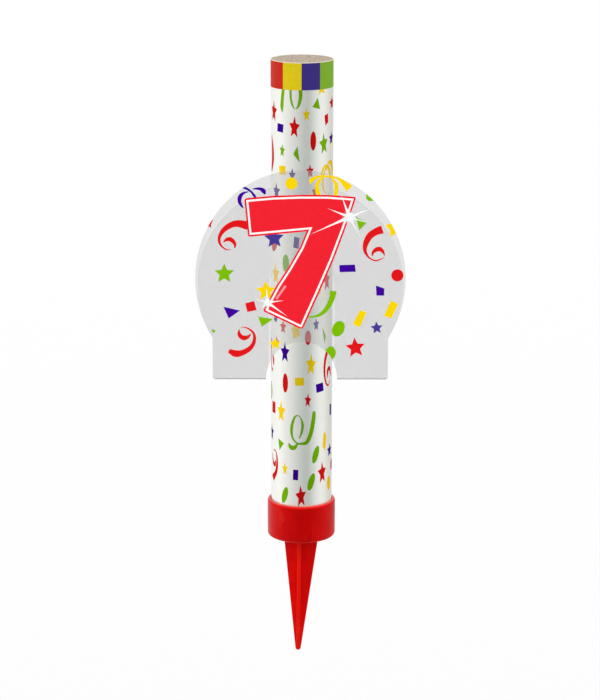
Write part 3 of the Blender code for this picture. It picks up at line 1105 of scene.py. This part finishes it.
def make_panel(name, node, body, outline, place, finish, edge):
    """One film panel: the film's finish on both faces and the edge finish round them."""
    verts, triangles, _ = overprint(outline, [])
    faces = ["film"] * len(triangles)
    made = thick_sheet(name, verts, triangles, faces, {"film": finish}, edge, place, 2 * FILM_HALF)
    for face in made.data.polygons:
        if len(face.vertices) == 3:
            face.material_index = 1
    see_through(made)
    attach(made, body)
    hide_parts(node)


def make_glow(middle, reach, index):
    """A soft halo round a sparkle, fading out from its middle."""
    name = "sparkle_glow_%d" % index
    finish, shader = shader_of(name, Roughness=0.5, Base_Color=grey(1))
    nodes, links = finish.node_tree.nodes, finish.node_tree.links
    place = nodes.new("ShaderNodeTexCoord")
    mapping = nodes.new("ShaderNodeMapping")
    mapping.vector_type = "TEXTURE"
    mapping.inputs["Location"].default_value = Vector((middle[0], FOLD.y, FOLD.z + middle[1])) * MM
    mapping.inputs["Scale"].default_value = (reach * MM,) * 3
    ball = nodes.new("ShaderNodeTexGradient")
    ball.gradient_type = "QUADRATIC_SPHERE"
    links.new(place.outputs["Object"], mapping.inputs["Vector"])
    links.new(mapping.outputs["Vector"], ball.inputs["Vector"])
    stops = [(0.0, grey(0)), (0.3, grey(0.4)), (0.6, grey(0.95))]
    links.new(ramp(finish, ball.outputs["Fac"], stops), shader.inputs["Alpha"])
    outline = scaled(round_points(40), middle, 2 * reach, 2 * reach)
    verts, triangles, colours = overprint(outline, [])
    in_front = front_place(FILM_HALF + INK_RISE + GLOW_RISE)
    made = thick_sheet(name, verts, triangles, colours, {}, finish, in_front, GLOW_THICK)
    see_through(made)
    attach(made, "tag_front")


def make_tag():
    front_film = film_finish("printed_film", 0.455, 0.213, 0.3)
    rear_film = film_finish("clear_film", 0.16, 0.08, 0.29)
    edge = film_finish("film_edge", 0.35, 0.3, 0.29)
    front_outline = panel_outline(False)
    rear_outline = panel_outline(True)
    make_panel(
        "film_front", "tag_front_panel", "tag_front",
        front_outline, front_place(FILM_HALF), front_film, edge,
    )
    make_panel(
        "film_rear", "tag_rear_panel", "tag_rear",
        rear_outline, rear_place(), rear_film, edge,
    )
    finishes = {key: film_ink_finish("film_ink_" + key, rgb) for key, rgb in FILM_INKS.items()}
    verts, triangles, colours = overprint(front_outline, tag_layout())
    inked = [(t, c) for t, c in zip(triangles, colours) if c]
    made = thick_sheet(
        "number_print", verts, [t for t, _ in inked], [c for _, c in inked],
        finishes, finishes["red"], front_place(FILM_HALF + INK_RISE, PRINT_UP),
        INK_RISE + INK_OVERLAP, both_sides=True,
    )
    see_through(made)
    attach(made, "tag_front")
    for index, (middle, core, _) in enumerate(SPARKLES):
        make_glow(middle, core * GLOW_REACH, index)
    make_fold_beads()


def make_fold_beads():
    """The rounded crease along each foot, where the two panels meet."""
    crease = film_finish("film_crease", 0.25, 0.3, 0.3)
    radius = FILM_HALF + CREASE_RISE
    soft = 0.3 * radius
    spans = (
        ("crease_left", PANEL_MIDDLE - FOOT_HALF + FOOT_CORNER, -ARCH_HALF),
        ("crease_right", ARCH_HALF, PANEL_MIDDLE + FOOT_HALF - FOOT_CORNER),
    )
    for name, start, end in spans:
        length = end - start
        profile = [(0.0, 0.0), (radius - soft, 0.0), (radius, soft)]
        profile += [(radius, length - soft), (radius - soft, length), (0.0, length)]
        made = turned(name, profile, [crease], 20)
        made.data.transform(Matrix.Rotation(math.pi / 2, 4, "Y"))
        made.data.transform(Matrix.Translation(Vector((start, FOLD.y, FOLD.z)) * MM))
        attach(made, "tag_front")


# ---------- kept CAD pieces


def finish_kept_nodes():
    """The tube board and its fillings keep their CAD shapes and get real surfaces."""
    finishes = {
        "paper_tube": rough_finish("tube_board", (176, 158, 130), 1800, 0.12, 0.05),
        "clay_plug": rough_finish("clay", (168, 158, 142), 1200, 0.10, 0.08, 0.88),
        "spark_charge": rough_finish("grey_charge", (104, 104, 108), 4200, 0.35, 0.10, 0.8),
        "starter_charge": rough_finish("starter_grey", (66, 64, 66), 5200, 0.30, 0.10, 0.8),
    }
    for name, finish in finishes.items():
        data = frame["nodes"][name].data
        data.materials.clear()
        data.materials.append(finish)


# ---------- studio

# The studio all round at eye level: degrees to the right of the camera's side, then its colour
STUDIO_BAND = [
    (-90, (1.18, 1.16, 1.14)), (-65, (0.92, 0.91, 0.88)), (-40, (0.76, 0.755, 0.72)),
    (-17, (0.56, 0.565, 0.54)), (-6, (0.46, 0.48, 0.46)), (5, (0.38, 0.41, 0.40)),
    (16, (0.29, 0.325, 0.315)), (28, (0.30, 0.33, 0.32)), (40, (0.52, 0.57, 0.55)),
    (64, (0.88, 0.89, 0.88)), (80, (0.97, 0.97, 0.94)), (95, (0.93, 0.90, 0.86)),
    (112, (0.73, 0.70, 0.655)), (133, (0.62, 0.595, 0.545)), (150, (0.66, 0.66, 0.66)),
    (180, (0.82, 0.82, 0.82)), (215, (1.02, 1.01, 0.99)), (245, (1.06, 1.04, 1.02)),
    (269, (1.16, 1.14, 1.12)),
]
# and higher up, where the big soft lights are: degrees and brightness
STUDIO_TOP = [(-90, 1.9), (0, 2.1), (90, 2.1), (135, 1.5), (180, 1.2), (225, 1.4), (269, 1.9)]
# How far the upper lights take over, by the height of the direction
STUDIO_HEIGHTS = [(0.22, 0.0), (0.40, 1.0), (0.85, 1.0), (0.97, 0.45)]
STUDIO_POWER = 2.2


def make_world():
    """A soft studio all round, with broad lights left and right, a darker gap at the front and big
    lights overhead."""
    world = bpy.data.worlds.new("studio")
    bpy.context.scene.world = world
    world.use_nodes = True
    nodes, links = world.node_tree.nodes, world.node_tree.links
    place = nodes.new("ShaderNodeTexCoord")
    around = nodes.new("ShaderNodeTexGradient")
    around.gradient_type = "RADIAL"
    links.new(place.outputs["Generated"], around.inputs["Vector"])
    top = [(degrees, (level,) * 3) for degrees, level in STUDIO_TOP]
    rings = []
    for lights in (STUDIO_BAND, top):
        ring = nodes.new("ShaderNodeValToRGB")
        stops = [((degrees + 90) / 360, shade(colour, 1 / STUDIO_POWER)) for degrees, colour in lights]
        fill_ramp(ring, stops)
        links.new(around.outputs["Fac"], ring.inputs["Fac"])
        rings.append(ring)
    split = nodes.new("ShaderNodeSeparateXYZ")
    links.new(place.outputs["Generated"], split.inputs["Vector"])
    height = nodes.new("ShaderNodeValToRGB")
    fill_ramp(height, [(z, grey(share)) for z, share in STUDIO_HEIGHTS])
    links.new(split.outputs["Z"], height.inputs["Fac"])
    low, high = (ring.outputs["Color"] for ring in rings)
    mixed = blend_colours(world.node_tree, height.outputs["Color"], low, high)
    lit = nodes["Background"]
    lit.inputs["Strength"].default_value = STUDIO_POWER
    links.new(mixed, lit.inputs["Color"])
    plain = nodes.new("ShaderNodeBackground")
    plain.inputs["Color"].default_value = (1.0, 1.0, 1.0, 1.0)
    light = nodes.new("ShaderNodeLightPath")
    choose = nodes.new("ShaderNodeMixShader")
    links.new(light.outputs["Is Camera Ray"], choose.inputs["Fac"])
    links.new(lit.outputs["Background"], choose.inputs[1])
    links.new(plain.outputs["Background"], choose.inputs[2])
    links.new(choose.outputs["Shader"], nodes["World Output"].inputs["Surface"])


def make_floor():
    half = FLOOR_HALF
    z = HOLDER_LOW.z * MM - FLOOR_BELOW
    verts = [(-half, -half, z), (half, -half, z), (half, half, z), (-half, half, z)]
    mesh = bpy.data.meshes.new("floor")
    mesh.from_pydata(verts, [], [(0, 1, 2, 3)])
    finish, _ = shader_of(
        "floor_paper", Roughness=0.9, Base_Color=grey(0.25), Emission_Color=grey(1), Emission_Strength=0.55
    )
    mesh.materials.append(finish)
    floor = bpy.data.objects.new("floor", mesh)
    bpy.context.scene.collection.objects.link(floor)
    floor.visible_glossy = False
    floor.visible_diffuse = False


def make_camera():
    data = bpy.data.cameras.new("camera")
    data.lens = CAMERA_LENS
    camera = bpy.data.objects.new("camera", data)
    height = math.radians(CAMERA_HEIGHT_DEG)
    away = Vector((0, -math.cos(height), math.sin(height)))
    camera.location = CAMERA_TARGET + away * CAMERA_DISTANCE
    aim = (-away).to_track_quat("-Z", "Y").to_matrix()
    camera.rotation_euler = (aim @ Matrix.Rotation(math.radians(CAMERA_ROLL_DEG), 3, "Z")).to_euler()
    bpy.context.scene.collection.objects.link(camera)
    bpy.context.scene.camera = camera


def main():
    bpy.context.scene.view_settings.view_transform = "Standard"
    make_camera()
    make_world()
    make_floor()
    make_holder()
    make_wrapper()
    make_band()
    make_disc()
    make_tag()
    finish_kept_nodes()


main()
